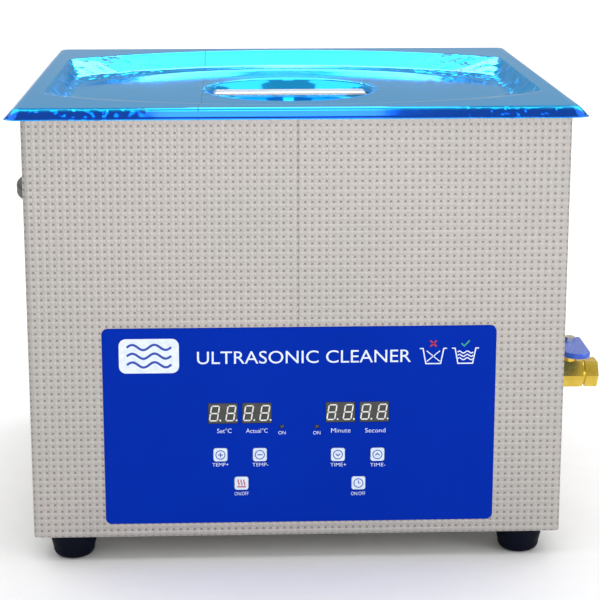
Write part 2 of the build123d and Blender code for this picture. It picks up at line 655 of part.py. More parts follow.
with BuildPart() as fan_frame:
    with BuildSketch(Plane(origin=(fan_x, inner_rear, fan_z), x_dir=(-1, 0, 0), z_dir=(0, 1, 0))):
        RectangleRounded(fan_size, fan_size, 4.0)
        Circle(fan_hole, mode=Mode.SUBTRACT)
        with GridLocations(71.5, 71.5, 2, 2):
            Circle(2.0, mode=Mode.SUBTRACT)
    extrude(amount=-fan_t)
    with BuildSketch(Plane(origin=(fan_x, fan_y, fan_z), x_dir=(-1, 0, 0), z_dir=(0, 1, 0))):
        Circle(18.0)
        Rectangle(2 * fan_hole + 1, 4.0, rotation=45)
        Rectangle(2 * fan_hole + 1, 4.0, rotation=-45)
        Circle(2.0, mode=Mode.SUBTRACT)
    extrude(amount=3.5)
fan_frame.part.label = "fan_frame"
export_step(fan_frame.part, "parts/fan_frame.step")

with BuildPart() as fan_rotor:
    with BuildSketch(Plane(origin=(fan_x, fan_y + 4.0, fan_z), x_dir=(-1, 0, 0), z_dir=(0, 1, 0))):
        Circle(17.5)
    extrude(amount=18.0)
    fillet(fan_rotor.faces().sort_by(Axis.Y)[-1].edges(), 2.0)
    with BuildSketch(Plane(origin=(fan_x, fan_y + 0.8, fan_z), x_dir=(-1, 0, 0), z_dir=(0, 1, 0))):
        Circle(1.6)
    extrude(amount=5.0)
    with BuildSketch(Plane(origin=(fan_x + 26.5, fan_y + 13.0, fan_z), x_dir=(0, 1, 0), z_dir=(1, 0, 0))):
        Rectangle(15.5, 1.6, rotation=38)
    blade = extrude(amount=10.2, both=True, mode=Mode.PRIVATE)
    for i in range(7):
        add(blade.rotate(Axis((fan_x, 0, fan_z), (0, 1, 0)), i * 360 / 7))
fan_rotor.part.label = "fan_rotor"
export_step(fan_rotor.part, "parts/fan_rotor.step")

wire_r = 0.9
with BuildPart() as fan_guard:
    for ring_r in (9.0, 19.0, 29.0, 38.5):
        with Locations(Plane(origin=(fan_x, rear_y + 3 * wire_r, fan_z), z_dir=(0, 1, 0))):
            Torus(ring_r, wire_r)
    for i in range(4):
        turn = radians(45 + 90 * i)
        outward = (cos(turn), 0, sin(turn))
        with Locations(Plane(origin=(fan_x + 8.0 * cos(turn), rear_y + 1.4 * wire_r, fan_z + 8.0 * sin(turn)),
                             z_dir=outward)):
            Cylinder(wire_r, 38.5, align=(Align.CENTER, Align.CENTER, Align.MIN))
    with BuildSketch(Plane(origin=(fan_x, rear_y, fan_z), x_dir=(-1, 0, 0), z_dir=(0, 1, 0))):
        with GridLocations(71.5, 71.5, 2, 2):
            Circle(4.6)
            Circle(2.0, mode=Mode.SUBTRACT)
    extrude(amount=1.8)
fan_guard.part.label = "fan_guard"
export_step(fan_guard.part, "parts/fan_guard.step")

# ---- Side carrying handles ----
for name, side in (("carry_handle_left", -1), ("carry_handle_right", 1)):
    with BuildPart() as carry_handle:
        with BuildSketch(Plane.XY):
            with BuildLine():
                Line((0, -52), (0, 52))
                Line((0, 52), (6, 52))
                ThreePointArc((6, 52), (handle_out, 0), (6, -52))
                Line((6, -52), (0, -52))
            make_face()
            with BuildLine():
                Line((-1, -30), (-1, 30))
                Line((-1, 30), (4, 30))
                ThreePointArc((4, 30), (15.5, 0), (4, -30))
                Line((4, -30), (-1, -30))
            make_face(mode=Mode.SUBTRACT)
        extrude(amount=handle_t / 2, both=True)
        fillet(carry_handle.edges().filter_by(lambda e: e.center().X > 3.0).filter_by(
            lambda e: abs(abs(e.center().Z) - handle_t / 2) < 0.01), 2.6)
        with Locations(*[Plane(origin=(0, y, 0), z_dir=(1, 0, 0)) for y in handle_screws]):
            Cylinder(2.0, 20.0, mode=Mode.SUBTRACT)
    turned = carry_handle.part if side > 0 else carry_handle.part.mirror(Plane.YZ)
    placed = Pos(side * side_x, handle_y, handle_z) * turned
    placed.label = name
    export_step(placed, f"parts/{name}.step")

with BuildPart() as panel_screws:
    for side in (-1, 1):
        for y in handle_screws:
            with Locations(Plane(origin=(side * inner_side, handle_y + y, handle_z), z_dir=(side, 0, 0))):
                Cylinder(2.0, 9.0, align=(Align.CENTER, Align.CENTER, Align.MIN))
            with Locations(Plane(origin=(side * inner_side, handle_y + y, handle_z), z_dir=(-side, 0, 0))):
                Cylinder(3.4, 1.6, align=(Align.CENTER, Align.CENTER, Align.MIN))
    with Locations(*[Plane(origin=(-x, rear_y, z), z_dir=(0, 1, 0)) for x, z in rear_screws]):
        Cylinder(2.8, 1.8, align=(Align.CENTER, Align.CENTER, Align.MIN))
        Cylinder(1.5, 3.5, align=(Align.CENTER, Align.CENTER, Align.MAX))
    inlet_screws = [(inlet_x + dx, rear_y + 2.5, inlet_z, 1.5, 6.0) for dx in (-20.0, 20.0)]
    guard_screws = [
        (fan_x + dx, rear_y + 1.8, fan_z + dz, 2.0, 12.0) for dx in (-35.75, 35.75) for dz in (-35.75, 35.75)
    ]
    for x, y, z, r, length in inlet_screws + guard_screws:
        with Locations(Plane(origin=(x, y, z), z_dir=(0, 1, 0))):
            Cylinder(r + 1.3, 1.8, align=(Align.CENTER, Align.CENTER, Align.MIN))
            Cylinder(r, length, align=(Align.CENTER, Align.CENTER, Align.MAX))
    with Locations(*[(x, y, case_z0) for x, y in base_screws]):
        Cylinder(2.8, 1.6, align=(Align.CENTER, Align.CENTER, Align.MAX))
        Cylinder(1.5, 3.5, align=(Align.CENTER, Align.CENTER, Align.MIN))
panel_screws.part.label = "panel_screws"
export_step(panel_screws.part, "parts/panel_screws.step")

# ---- Lid ----
with BuildPart() as lid:
    for grow in (0.0, -2 * sheet):
        with BuildSketch(Plane.XY.offset(lid_top)):
            RectangleRounded(lid_w + grow, lid_d + grow, 5.0 + grow / 2)
        with BuildSketch(Plane.XY.offset(skirt_z)):
            RectangleRounded(skirt_w + grow, skirt_d + grow, 9.0 + grow / 2)
        loft(mode=Mode.SUBTRACT if grow else Mode.ADD)
    with BuildSketch(Plane.XY.offset(lid_top - sheet)):
        RectangleRounded(lid_w, lid_d, 5.0)
    extrude(amount=sheet)
    for grow, drop in ((0.0, sheet), (-sheet, 0.0)):
        for z, x, side_y, mid_y in (
            (lid_top, dish_x, dish_side_y, dish_mid_y),
            (dish_floor - drop, floor_x, floor_side_y, floor_mid_y),
        ):
            x, side_y, mid_y = x + grow, side_y + grow, mid_y + grow
            with BuildSketch(Plane.XY.offset(z)):
                with BuildLine():
                    Line((x, -side_y), (x, side_y))
                    ThreePointArc((x, side_y), (0, mid_y), (-x, side_y))
                    Line((-x, side_y), (-x, -side_y))
                    ThreePointArc((-x, -side_y), (0, -mid_y), (x, -side_y))
                make_face()
        loft(mode=Mode.SUBTRACT if grow else Mode.ADD)
        with BuildSketch(Plane.XY.offset(dish_floor - (0.5 if not grow else 0.0))):
            Circle(cup_r + sheet + grow)
        with BuildSketch(Plane.XY.offset(cup_floor - drop)):
            Circle(cup_r_low + sheet + grow)
        loft(mode=Mode.SUBTRACT if grow else Mode.ADD)
lid.part.label = "lid"
export_step(lid.part, "parts/lid.step")

with BuildPart() as lid_handle:
    with Locations((0, 0, dish_floor - 0.9)):
        Box(2 * cup_r, bar_w, bar_drop, align=(Align.CENTER, Align.CENTER, Align.MAX))
    fillet(lid_handle.edges().filter_by(Axis.X).group_by(Axis.Z)[-1], 2.0)
    with Locations((0, 0, dish_floor - 2.1)):
        Box(2 * cup_r, bar_w - 2.4, bar_drop, align=(Align.CENTER, Align.CENTER, Align.MAX), mode=Mode.SUBTRACT)
    with BuildSketch(Plane.XY.offset(dish_floor)):
        Circle(cup_r)
    with BuildSketch(Plane.XY.offset(cup_floor)):
        Circle(cup_r_low)
    loft(mode=Mode.INTERSECT)
    with BuildSketch(Plane.XZ):
        with BuildLine():
            Polyline((-bar_top_x, lid_top), (bar_top_x, lid_top), (bar_top_x, dish_floor),
                     (cup_r, dish_floor - 5.5), (cup_r, cup_floor), (-cup_r, cup_floor),
                     (-cup_r, dish_floor - 5.5), (-bar_top_x, dish_floor), close=True)
        make_face()
    extrude(amount=bar_w, both=True, mode=Mode.INTERSECT)
lid_handle.part.label = "lid_handle"
export_step(lid_handle.part, "parts/lid_handle.step")
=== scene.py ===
"""Looks for the bench ultrasonic cleaner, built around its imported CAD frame, in the CAD's axes.

Blender's units are metres; shapes are worked out in millimetres and scaled by MM.
"""
import json
import math

import bpy
import numpy as np
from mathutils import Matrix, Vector


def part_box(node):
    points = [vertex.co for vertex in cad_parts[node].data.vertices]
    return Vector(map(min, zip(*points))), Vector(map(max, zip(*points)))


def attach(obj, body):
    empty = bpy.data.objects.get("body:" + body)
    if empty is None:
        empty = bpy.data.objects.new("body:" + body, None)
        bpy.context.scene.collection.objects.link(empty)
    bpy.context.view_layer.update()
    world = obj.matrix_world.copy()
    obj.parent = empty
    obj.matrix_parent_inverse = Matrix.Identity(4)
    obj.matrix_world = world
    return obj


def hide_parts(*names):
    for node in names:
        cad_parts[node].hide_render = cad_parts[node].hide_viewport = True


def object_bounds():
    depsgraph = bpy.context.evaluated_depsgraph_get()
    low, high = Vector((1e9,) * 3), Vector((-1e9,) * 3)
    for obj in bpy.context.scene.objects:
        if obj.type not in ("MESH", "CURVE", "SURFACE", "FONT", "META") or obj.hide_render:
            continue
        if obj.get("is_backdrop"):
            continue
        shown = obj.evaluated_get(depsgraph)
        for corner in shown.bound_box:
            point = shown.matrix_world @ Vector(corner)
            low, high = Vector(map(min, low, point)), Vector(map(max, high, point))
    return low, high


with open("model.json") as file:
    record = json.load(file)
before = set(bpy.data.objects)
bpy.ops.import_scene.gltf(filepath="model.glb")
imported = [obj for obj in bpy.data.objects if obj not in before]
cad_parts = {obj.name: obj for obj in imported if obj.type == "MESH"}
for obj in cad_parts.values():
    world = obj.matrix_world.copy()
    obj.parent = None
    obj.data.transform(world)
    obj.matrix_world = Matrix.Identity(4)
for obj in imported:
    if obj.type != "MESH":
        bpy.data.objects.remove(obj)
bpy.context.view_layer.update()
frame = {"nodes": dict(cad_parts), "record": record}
nodes = frame["nodes"]
MM = 0.001
HALF_W, HALF_D, FOLD = 170.0, 157.5, 3.0  # the case's half width and half depth, and its fold radius
SEAM_X = -61.0  # where two strips of the lid's film meet


# ---------------------------------------------------------------- node helpers
def new_material(name):
    mat = bpy.data.materials.new(name)
    mat.use_nodes = True
    tree = mat.node_tree
    return mat, tree, tree.nodes["Principled BSDF"]


def node(tree, kind, **settings):
    made = tree.nodes.new(kind)
    for key, value in settings.items():
        if key.startswith("in_"):
            made.inputs[key[3:].replace("_", " ")].default_value = value
        else:
            setattr(made, key, value)
    return made


def coordinates(tree, stretch=(1.0, 1.0, 1.0)):
    """Object coordinates, stretched so that grain can run one way."""
    coord = node(tree, "ShaderNodeTexCoord")
    mapping = node(tree, "ShaderNodeMapping")
    mapping.inputs["Scale"].default_value = stretch
    tree.links.new(coord.outputs["Object"], mapping.inputs["Vector"])
    return mapping.outputs["Vector"]


def noise(tree, vector, scale, detail=3.0):
    tex = node(tree, "ShaderNodeTexNoise", in_Scale=scale, in_Detail=detail, in_Roughness=0.55)
    tree.links.new(vector, tex.inputs["Vector"])
    return tex.outputs["Fac"]


def remap(tree, value, low, high, from_low=0.3, from_high=0.7):
    ranged = node(tree, "ShaderNodeMapRange", in_From_Min=from_low, in_From_Max=from_high,
                  in_To_Min=low, in_To_Max=high)
    tree.links.new(value, ranged.inputs["Value"])
    return ranged.outputs["Result"]


def mix_colour(tree, factor, first, second):
    mixer = node(tree, "ShaderNodeMix", data_type="RGBA")
    tree.links.new(factor, mixer.inputs["Factor"])
    for socket, colour in ((mixer.inputs[6], first), (mixer.inputs[7], second)):
        if isinstance(colour, tuple):
            socket.default_value = (*colour, 1.0)
        else:
            tree.links.new(colour, socket)
    return mixer.outputs[2]


GRAIN_DEPTH = 0.0002


def surface(name, colour, second=None, metallic=0.0, rough=(0.4, 0.5), patch=40.0, grain=900.0,
            stretch=(1.0, 1.0, 1.0), bump=0.15, coat=0.0, specular=0.5):
    """Principled surface with patchy colour, varying roughness and a fine bump."""
    mat, tree, bsdf = new_material(name)
    plain = coordinates(tree)
    along = coordinates(tree, stretch)
    second = second or tuple(c * 0.82 for c in colour)
    patches = remap(tree, noise(tree, plain, patch), 0.0, 1.0)
    tree.links.new(mix_colour(tree, patches, colour, second), bsdf.inputs["Base Color"])
    fine = noise(tree, along, grain, detail=4.0)
    tree.links.new(remap(tree, fine, rough[0], rough[1]), bsdf.inputs["Roughness"])
    bumper = node(tree, "ShaderNodeBump", in_Strength=bump, in_Distance=GRAIN_DEPTH)
    tree.links.new(fine, bumper.inputs["Height"])
    tree.links.new(bumper.outputs["Normal"], bsdf.inputs["Normal"])
    bsdf.inputs["Metallic"].default_value = metallic
    bsdf.inputs["Specular IOR Level"].default_value = specular
    bsdf.inputs["Coat Weight"].default_value = coat
    bsdf.inputs["Coat Roughness"].default_value = 0.1
    return mat


def srgb(r, g, b):
    """Linear colour of an 8-bit display colour."""
    shares = [c / 255.0 for c in (r, g, b)]
    return tuple(c / 12.92 if c <= 0.04 else ((c + 0.055) / 1.055) ** 2.4 for c in shares)


# ---------------------------------------------------------------- materials
def embossed_steel():
    """Stainless sheet; the relief attribute paints shade into the pits and into the grooves round the raised
    discs, a painted shade for these recesses.
    """
    mat, tree, bsdf = new_material("embossed_steel")
    plain = coordinates(tree)
    relief = node(tree, "ShaderNodeAttribute", attribute_name="relief")
    broad = remap(tree, noise(tree, plain, 9.0, 2.0), 0.0, 1.0)
    tint = mix_colour(tree, broad, srgb(190, 184, 180), srgb(183, 180, 176))
    speck = remap(tree, noise(tree, plain, 420.0, 2.0), 0.0, 0.35)
    tinted = mix_colour(tree, speck, tint, srgb(168, 164, 160))
    # Painted shade: the groove round each disc's flat top is darkened.
    rim_shade = remap(tree, relief.outputs["Fac"], 0.0, 1.0, 0.7, 0.84)
    rim_shaded = mix_colour(tree, rim_shade, srgb(148, 142, 138), tinted)
    # Painted shade: the pits at the cells' corners are darkened most.
    pit_shade = remap(tree, relief.outputs["Fac"], 0.0, 1.0, 0.1, 0.7)
    shaded = mix_colour(tree, pit_shade, srgb(126, 120, 116), rim_shaded)
    tree.links.new(shaded, bsdf.inputs["Base Color"])
    tree.links.new(remap(tree, noise(tree, plain, 900.0), 0.36, 0.5), bsdf.inputs["Roughness"])
    bumper = node(tree, "ShaderNodeBump", in_Strength=0.12, in_Distance=GRAIN_DEPTH)
    tree.links.new(noise(tree, plain, 1500.0), bumper.inputs["Height"])
    tree.links.new(bumper.outputs["Normal"], bsdf.inputs["Normal"])
    bsdf.inputs["Metallic"].default_value = 0.85
    return mat


def ridges(tree, vector, scale):
    """Sharp-crested folds, as in bunched film."""
    tex = node(tree, "ShaderNodeTexNoise", in_Scale=scale, in_Detail=3.0, in_Roughness=0.5)
    tex.noise_type = "RIDGED_MULTIFRACTAL"
    tree.links.new(vector, tex.inputs["Vector"])
    return tex.outputs["Fac"]


def film_seam(tree, vector):
    """1 on the fine line where two strips of the film meet."""
    parts = node(tree, "ShaderNodeSeparateXYZ")
    tree.links.new(vector, parts.inputs[0])
    away = node(tree, "ShaderNodeMath", operation="COMPARE")
    away.inputs[1].default_value = SEAM_X * MM
    away.inputs[2].default_value = 0.5 * MM
    tree.links.new(parts.outputs["X"], away.inputs[0])
    return away.outputs[0]


def lid_film():
    """Polished steel under blue film, with a thin clear coat and creases that grow towards the corners."""
    mat, tree, bsdf = new_material("lid_film")
    plain = coordinates(tree)
    crease = node(tree, "ShaderNodeAttribute", attribute_name="crease")
    deep = node(tree, "ShaderNodeAttribute", attribute_name="deep")
    broad = remap(tree, noise(tree, plain, 9.0, 2.0), 0.0, 1.0)
    tint = mix_colour(tree, broad, (0.012, 0.43, 0.90), (0.004, 0.38, 0.86))
    seamed = mix_colour(tree, film_seam(tree, plain), tint, (0.0, 0.22, 0.55))
    # Painted reflection: the deep attribute mixes a darker blue into the film on the skirt and the
    # underside.
    shaded = mix_colour(tree, deep.outputs["Fac"], seamed, (0.0, 0.08, 0.56))
    tree.links.new(shaded, bsdf.inputs["Base Color"])
    tree.links.new(remap(tree, noise(tree, plain, 60.0), 0.05, 0.11), bsdf.inputs["Roughness"])
    wrinkle = ridges(tree, coordinates(tree, (1.0, 1.5, 1.0)), 130.0)
    ripple = noise(tree, plain, 30.0, 2.0)
    first = node(tree, "ShaderNodeBump", in_Distance=0.0017)
    tree.links.new(crease.outputs["Fac"], first.inputs["Strength"])
    tree.links.new(wrinkle, first.inputs["Height"])
    second = node(tree, "ShaderNodeBump", in_Strength=0.04, in_Distance=0.0012)
    tree.links.new(ripple, second.inputs["Height"])
    tree.links.new(first.outputs["Normal"], second.inputs["Normal"])
    tree.links.new(second.outputs["Normal"], bsdf.inputs["Normal"])
    bsdf.inputs["Metallic"].default_value = 1.0
    bsdf.inputs["Specular Tint"].default_value = (0.22, 0.72, 1.0, 1.0)
    bsdf.inputs["Coat Weight"].default_value = 0.3
    bsdf.inputs["Coat Roughness"].default_value = 0.05
    return mat


brush_x = (1.0, 40.0, 40.0)
M = {
    "steel_case": surface("satin_steel", srgb(200, 198, 192), metallic=0.9, rough=(0.3, 0.42),
                          stretch=brush_x),
    "steel_tank": surface("tank_steel", srgb(205, 205, 203), metallic=0.95, rough=(0.2, 0.32),
                          stretch=brush_x, bump=0.08),
    "seal_rubber": surface("seal_rubber", (0.02, 0.02, 0.022), rough=(0.6, 0.8)),
    "foot_rubber": surface("foot_rubber", srgb(5, 10, 30), srgb(3, 6, 20), rough=(0.5, 0.66), grain=1400.0,
                           bump=0.35, specular=0.08),
    "zinc_screws": surface("zinc_screws", srgb(205, 206, 208), metallic=1.0, rough=(0.22, 0.36),
                           grain=2500.0),
    "overlay_blue": surface("overlay_blue", (0.0, 0.026, 0.40), (0.0, 0.023, 0.37), rough=(0.5, 0.58),
                            patch=9.0, grain=2200.0, bump=0.05, specular=0.03),
    "board_green": surface("board_green", srgb(20, 96, 50), rough=(0.3, 0.45), patch=120.0),
    "display_grey": surface("display_grey", srgb(62, 62, 60), srgb(50, 50, 50), rough=(0.25, 0.35),
                            patch=200.0, bump=0.04),
    "led_clear": surface("led_lens", srgb(12, 26, 78), srgb(6, 16, 52), rough=(0.12, 0.2), patch=300.0,
                         coat=0.6),
    "black_plastic": surface("black_plastic", (0.012, 0.012, 0.013), rough=(0.4, 0.55), grain=1800.0,
                             bump=0.25),
    "brass_parts": surface("brass", srgb(238, 208, 92), srgb(212, 178, 66), metallic=1.0, rough=(0.16,
                           0.32), patch=90.0, grain=700.0, stretch=(30.0, 1.0, 1.0), bump=0.12),
    "heatsink_aluminium": surface("aluminium", srgb(210, 212, 214), metallic=1.0, rough=(0.28, 0.4),
                                  stretch=brush_x),
    "winding_brown": surface("winding", srgb(140, 84, 30), rough=(0.35, 0.5), stretch=(1.0, 60.0, 1.0)),
    "capacitor_black": surface("capacitor", (0.01, 0.01, 0.02), rough=(0.25, 0.35)),
    "ceramic_grey": surface("ceramic", srgb(98, 92, 84), rough=(0.5, 0.7), patch=200.0),
    "mass_steel": surface("turned_steel", srgb(150, 150, 152), metallic=1.0, rough=(0.25, 0.4)),
    "silicone_red": surface("silicone_mat", srgb(190, 90, 50), rough=(0.5, 0.7), grain=600.0, bump=0.3),
    "hose_rubber": surface("hose_rubber", (0.012, 0.012, 0.014), rough=(0.5, 0.7)),
    "ptfe_white": surface("ptfe", srgb(240, 240, 236), rough=(0.35, 0.5)),
    "chrome_ball": surface("ball_chrome", srgb(225, 226, 228), metallic=1.0, rough=(0.05, 0.12)),
    "lever_blue": surface("lever_vinyl", srgb(26, 96, 214), srgb(14, 74, 190), rough=(0.18, 0.3),
                          patch=120.0, bump=0.1, coat=0.5),
    "pin_metal": surface("pin_nickel", srgb(215, 213, 208), metallic=1.0, rough=(0.15, 0.25)),
    "rocker_red": surface("rocker_red", srgb(170, 12, 14), rough=(0.2, 0.3), coat=0.3),
    "guard_chrome": surface("guard_chrome", srgb(215, 217, 220), metallic=1.0, rough=(0.1, 0.2)),
    "handle_black": surface("handle_black", (0.010, 0.010, 0.011), rough=(0.42, 0.6), grain=1600.0,
                            bump=0.4),
    "lid_film": lid_film(),
    "bar_steel": surface("bar_steel", srgb(225, 226, 228), metallic=1.0, rough=(0.16, 0.3),
                         stretch=brush_x),
    "key_white": surface("key_white", srgb(222, 234, 250), srgb(205, 222, 246), rough=(0.28, 0.38),
                         patch=150.0, bump=0.06),
}
EMBOSSED = embossed_steel()
PRINT_WHITE = surface("print_white", srgb(236, 243, 255), srgb(214, 228, 250), rough=(0.4, 0.5),
                      patch=400.0, bump=0.03)
PRINT_BLUE = surface("print_blue", srgb(30, 66, 176), srgb(20, 54, 160), rough=(0.4, 0.5), patch=400.0,
                     bump=0.03)
PRINT_RED = surface("print_red", srgb(205, 24, 48), srgb(180, 16, 40), rough=(0.4, 0.5), patch=400.0,
                    bump=0.03)
PRINT_GREEN = surface("print_green", srgb(20, 170, 130), srgb(16, 150, 112), rough=(0.4, 0.5), patch=400.0,
                      bump=0.03)
SEGMENT = surface("segment", srgb(236, 238, 232), srgb(216, 220, 216), rough=(0.3, 0.4), patch=500.0,
                  bump=0.03)

for entry in frame["record"]["subparts"]:
    piece = nodes[entry["node"]]
    piece.data.materials.clear()
    piece.data.materials.append(M[entry["material_slot"]])


# ---------------------------------------------------------------- mesh helpers
def mesh_piece(name, points, faces, mat, body, smooth=True):
    mesh = bpy.data.meshes.new(name)
    mesh.from_pydata([tuple(p) for p in points], [], faces)
    mesh.update()
    made = bpy.data.objects.new(name, mesh)
    bpy.context.scene.collection.objects.link(made)
    mesh.materials.append(mat)
    for polygon in mesh.polygons:
        polygon.use_smooth = smooth
    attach(made, body)
    return made


def point_values(made, name, values):
    layer = made.data.attributes.new(name, "FLOAT", "POINT")
    layer.data.foreach_set("value", np.asarray(values, np.float32))


# ---------------------------------------------------------------- embossed skin
PITCH = 4.4  # side of a cell, to the nearest whole number of cells
Z_LOW, Z_HIGH = 17.2, 288.9
RELIEF = 0.3  # height of a disc over the pits
LIFT, EDGE_LIFT = 0.06, 0.02  # of the pits and of a strip's edges off the wall
ROWS = round((Z_HIGH - Z_LOW) / PITCH)
ARC = FOLD * math.pi / 2
FRONT_LEN = 2 * (HALF_W - FOLD)
SIDE_LEN = HALF_D - FOLD + HALF_D - 0.2
# Border of a cell in twelfths of its side: (along, up, share of the relief). The pits are at the corners.
CELL, MIDDLE, NEAR = 12, 6, 2
RIDGE = 0.8
CELL_BORDER = []
for corner_u, corner_v in ((0, 0), (CELL, 0), (CELL, CELL), (0, CELL)):
    step_u, step_v = (NEAR if corner_u == 0 else -NEAR), (NEAR if corner_v == 0 else -NEAR)
    CELL_BORDER += [(corner_u, corner_v, 0.0), (corner_u + step_u, corner_v, RIDGE),
                    (corner_u, corner_v + step_v, RIDGE)]
CELL_BORDER.sort(key=lambda p: math.atan2(p[1] - MIDDLE, p[0] - MIDDLE))
# Rings of the disc from its foot to its flat top: (radius, share of the relief).
DISC_RINGS = ((1.88, 0.86), (1.66, 0.72), (1.42, 1.0))


def wrap(s, lift):
    """Point off the case wall by lift, at distance s along the wall from the front's middle."""
    side = 1.0 if s >= 0 else -1.0
    s = abs(s)
    if s <= FRONT_LEN / 2:
        return side * s, -HALF_D - lift
    s -= FRONT_LEN / 2
    if s <= ARC:
        turn = s / FOLD
        return (side * (HALF_W - FOLD + (FOLD + lift) * math.sin(turn)),
                -HALF_D + FOLD - (FOLD + lift) * math.cos(turn))
    return side * (HALF_W + lift), -HALF_D + FOLD + (s - ARC)


def emboss(name, s_low, s_high, hole=None):
    """A strip of the pattern from s_low to s_high, one raised disc to a cell, with pits at the corners."""
    columns = round((s_high - s_low) / PITCH)
    cell_w, cell_h = (s_high - s_low) / columns, (Z_HIGH - Z_LOW) / ROWS
    count = len(CELL_BORDER)
    points, faces, relief, grid = [], [], [], {}

    def add_point(s, z, height, lift):
        x, y = wrap(s, lift)
        points.append((x * MM, y * MM, z * MM))
        relief.append(height)
        return len(points) - 1

    for i in range(columns):
        for j in range(ROWS):
            s_mid, z_mid = s_low + (i + 0.5) * cell_w, Z_LOW + (j + 0.5) * cell_h
            if hole and hole[0] < s_mid < hole[1] and hole[2] < z_mid < hole[3]:
                continue
            rings = [[] for _ in range(len(DISC_RINGS) + 1)]
            for u, v, height in CELL_BORDER:
                key = (i * CELL + u, j * CELL + v)
                if key not in grid:
                    edge = key[0] in (0, columns * CELL) or key[1] in (0, ROWS * CELL)
                    grid[key] = add_point(s_low + key[0] / CELL * cell_w, Z_LOW + key[1] / CELL * cell_h,
                                          height, EDGE_LIFT if edge else LIFT + height * RELIEF)
                rings[0].append(grid[key])
                turn = math.atan2(v - MIDDLE, u - MIDDLE)
                for ring, (radius, rise) in zip(rings[1:], DISC_RINGS):
                    ring.append(add_point(s_mid + radius * math.cos(turn), z_mid + radius * math.sin(turn),
                                          rise, LIFT + rise * RELIEF))
            for outer, inner in zip(rings, rings[1:]):
                for k in range(count):
                    n = (k + 1) % count
                    faces.append((outer[k], outer[n], inner[n], inner[k]))
            faces.append(tuple(rings[-1]))
    made = mesh_piece(name, points, faces, EMBOSSED, "case")
    point_values(made, "relief", relief)
    return made


panel_low, panel_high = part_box("control_overlay")
front_half = FRONT_LEN / 2 + ARC / 2
TUCK = 2.0  # how far the pattern goes in under the panel
panel_hole = (panel_low.x / MM + TUCK, panel_high.x / MM - TUCK,
              panel_low.z / MM + TUCK, panel_high.z / MM - TUCK)
side_end = FRONT_LEN / 2 + ARC + SIDE_LEN
side_mid = (front_half + side_end) / 2
emboss("emboss_front_left", -front_half, 0.0, panel_hole)
emboss("emboss_front_right", 0.0, front_half, panel_hole)
emboss("emboss_right_front", front_half, side_mid)
emboss("emboss_right_rear", side_mid, side_end)
emboss("emboss_left_front", -side_mid, -front_half)
emboss("emboss_left_rear", -side_end, -side_mid)


# ---------------------------------------------------------------- panel print
PANEL_Y = panel_low.y / MM
PRINT_T, PRINT_SUNK = 0.06, 0.01  # thickness of the print, and how far it reaches into its base


def flat_prism(loops, y, thick):
    """Closed loops of (x, z), each made a slab that stands on y and faces the front."""
    points, faces = [], []
    for loop in loops:
        start = len(points)
        area = sum(a[0] * b[1] - b[0] * a[1] for a, b in zip(loop, loop[1:] + loop[:1]))
        if area < 0:
            loop = loop[::-1]
        n = len(loop)
        points += [(x * MM, (y - thick) * MM, z * MM) for x, z in loop]
        points += [(x * MM, (y + PRINT_SUNK) * MM, z * MM) for x, z in loop]
        faces.append(tuple(range(start, start + n)))
        for k in range(n):
            m = (k + 1) % n
            faces.append((start + k, start + n + k, start + n + m, start + m))
    return points, faces


def stroke(path, width, closed=False):
    """Quads along a polyline of (x, z), mitred at its bends."""
    path = [np.array(p, float) for p in path]
    n = len(path)
    left, right = [], []
    for k in range(n):
        before = path[k - 1] if (k > 0 or closed) else None
        after = path[(k + 1) % n] if (k < n - 1 or closed) else None
        directions = []
        if before is not None:
            d = path[k] - before
            directions.append(d / np.linalg.norm(d))
        if after is not None:
            d = after - path[k]
            directions.append(d / np.linalg.norm(d))
        tangent = sum(directions)
        tangent = tangent / np.linalg.norm(tangent)
        normal = np.array((-tangent[1], tangent[0]))
        reach = width / 2 / max(0.5, float(np.dot(tangent, directions[0])))
        left.append(path[k] + normal * reach)
        right.append(path[k] - normal * reach)
    loops = []
    for k in range(n if closed else n - 1):
        m = (k + 1) % n
        loops.append([tuple(left[k]), tuple(right[k]), tuple(right[m]), tuple(left[m])])
    return loops


def circle(x, z, r, count=28, start=0.0, end=2 * math.pi):
    full = abs(end - start - 2 * math.pi) < 1e-6
    steps = count if full else count + 1
    return [(x + r * math.cos(start + (end - start) * k / count),
             z + r * math.sin(start + (end - start) * k / count)) for k in range(steps)]


def print_piece(name, loops, mat, body, y, thick=PRINT_T):
    points, faces = flat_prism(loops, y, thick)
    return mesh_piece(name, points, faces, mat, body, smooth=False)


def text_piece(name, lines, mat, body, y):
    """Each line is (text, x middle, z low, width, cap height, weight); all join into one mesh."""
    merged_points, merged_faces = [], []
    for text, x_mid, z_low, width, cap, weight in lines:
        curve = bpy.data.curves.new(name + "_curve", "FONT")
        curve.body = text
        curve.size = 1.0
        curve.offset = weight
        curve.resolution_u = 4
        curve.extrude = 0.01
        holder = bpy.data.objects.new(name + "_curve", curve)
        bpy.context.scene.collection.objects.link(holder)
        bpy.context.view_layer.update()
        evaluated = holder.evaluated_get(bpy.context.evaluated_depsgraph_get())
        mesh = bpy.data.meshes.new_from_object(evaluated)
        co = np.array([v.co for v in mesh.vertices])
        low, high = co.min(0), co.max(0)
        x_scale = width / (high[0] - low[0])
        z_scale = cap / (high[1] - low[1])
        start = len(merged_points)
        for p in co:
            deep = PRINT_T if p[2] > 0 else -PRINT_SUNK
            merged_points.append(((x_mid + (p[0] - (low[0] + high[0]) / 2) * x_scale) * MM, (y - deep) * MM,
                                  (z_low + (p[1] - low[1]) * z_scale) * MM))
        merged_faces += [tuple(start + i for i in polygon.vertices) for polygon in mesh.polygons]
        bpy.data.objects.remove(holder)
        bpy.data.curves.remove(curve)
        bpy.data.meshes.remove(mesh)
    return mesh_piece(name, merged_points, merged_faces, mat, body, smooth=False)


